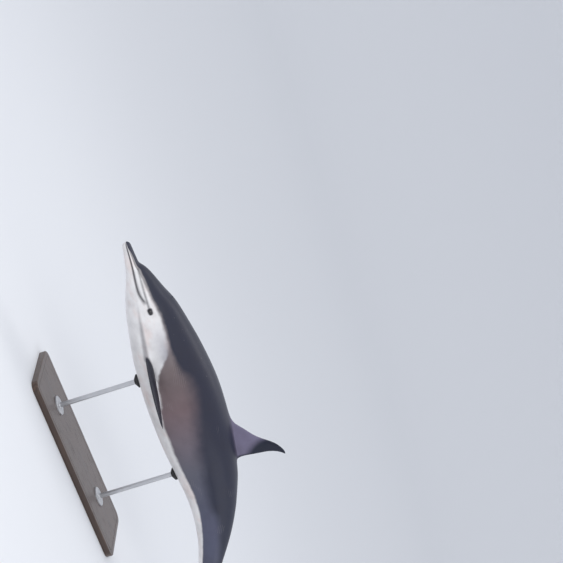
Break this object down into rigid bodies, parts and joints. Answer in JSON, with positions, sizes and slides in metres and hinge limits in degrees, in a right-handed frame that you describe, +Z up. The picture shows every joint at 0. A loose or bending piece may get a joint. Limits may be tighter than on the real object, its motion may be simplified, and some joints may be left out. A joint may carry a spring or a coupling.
{
  "type": "common dolphin",
  "caption": "Short-beaked common dolphin rolling at the surface with its back arched, as a still life-size model on a flat base with rods.",
  "frame": {"origin": "on the floor, under the middle of the whole model's length and width", "axes": "+X from the tail towards the beak, +Y to the animal's left, +Z up"},
  "size_m": [2.0448, 0.5226, 0.9793],
  "materials": {
    "skin": "wet gloss, counter-shaded",
    "eye": "polished",
    "stand_board": "dark satin lacquer",
    "stand_metal": "brushed",
    "stand_pad": "matt"
  },
  "bodies": {
    "root": {"upper_beak": "skin", "lower_jaw": "skin", "head": "skin", "eye_left": "eye", "eye_right": "eye", "chest": "skin", "trunk": "skin", "tail_stock": "skin", "dorsal_fin": "skin", "flipper_left": "skin", "flipper_right": "skin", "fluke_left": "skin", "fluke_right": "skin", "stand_base": "stand_board", "stand_flange_front": "stand_metal", "stand_flange_rear": "stand_metal", "stand_rod_front": "stand_metal", "stand_rod_rear": "stand_metal", "stand_saddle_front": "stand_pad", "stand_saddle_rear": "stand_pad"}
  },
  "joints": []
}
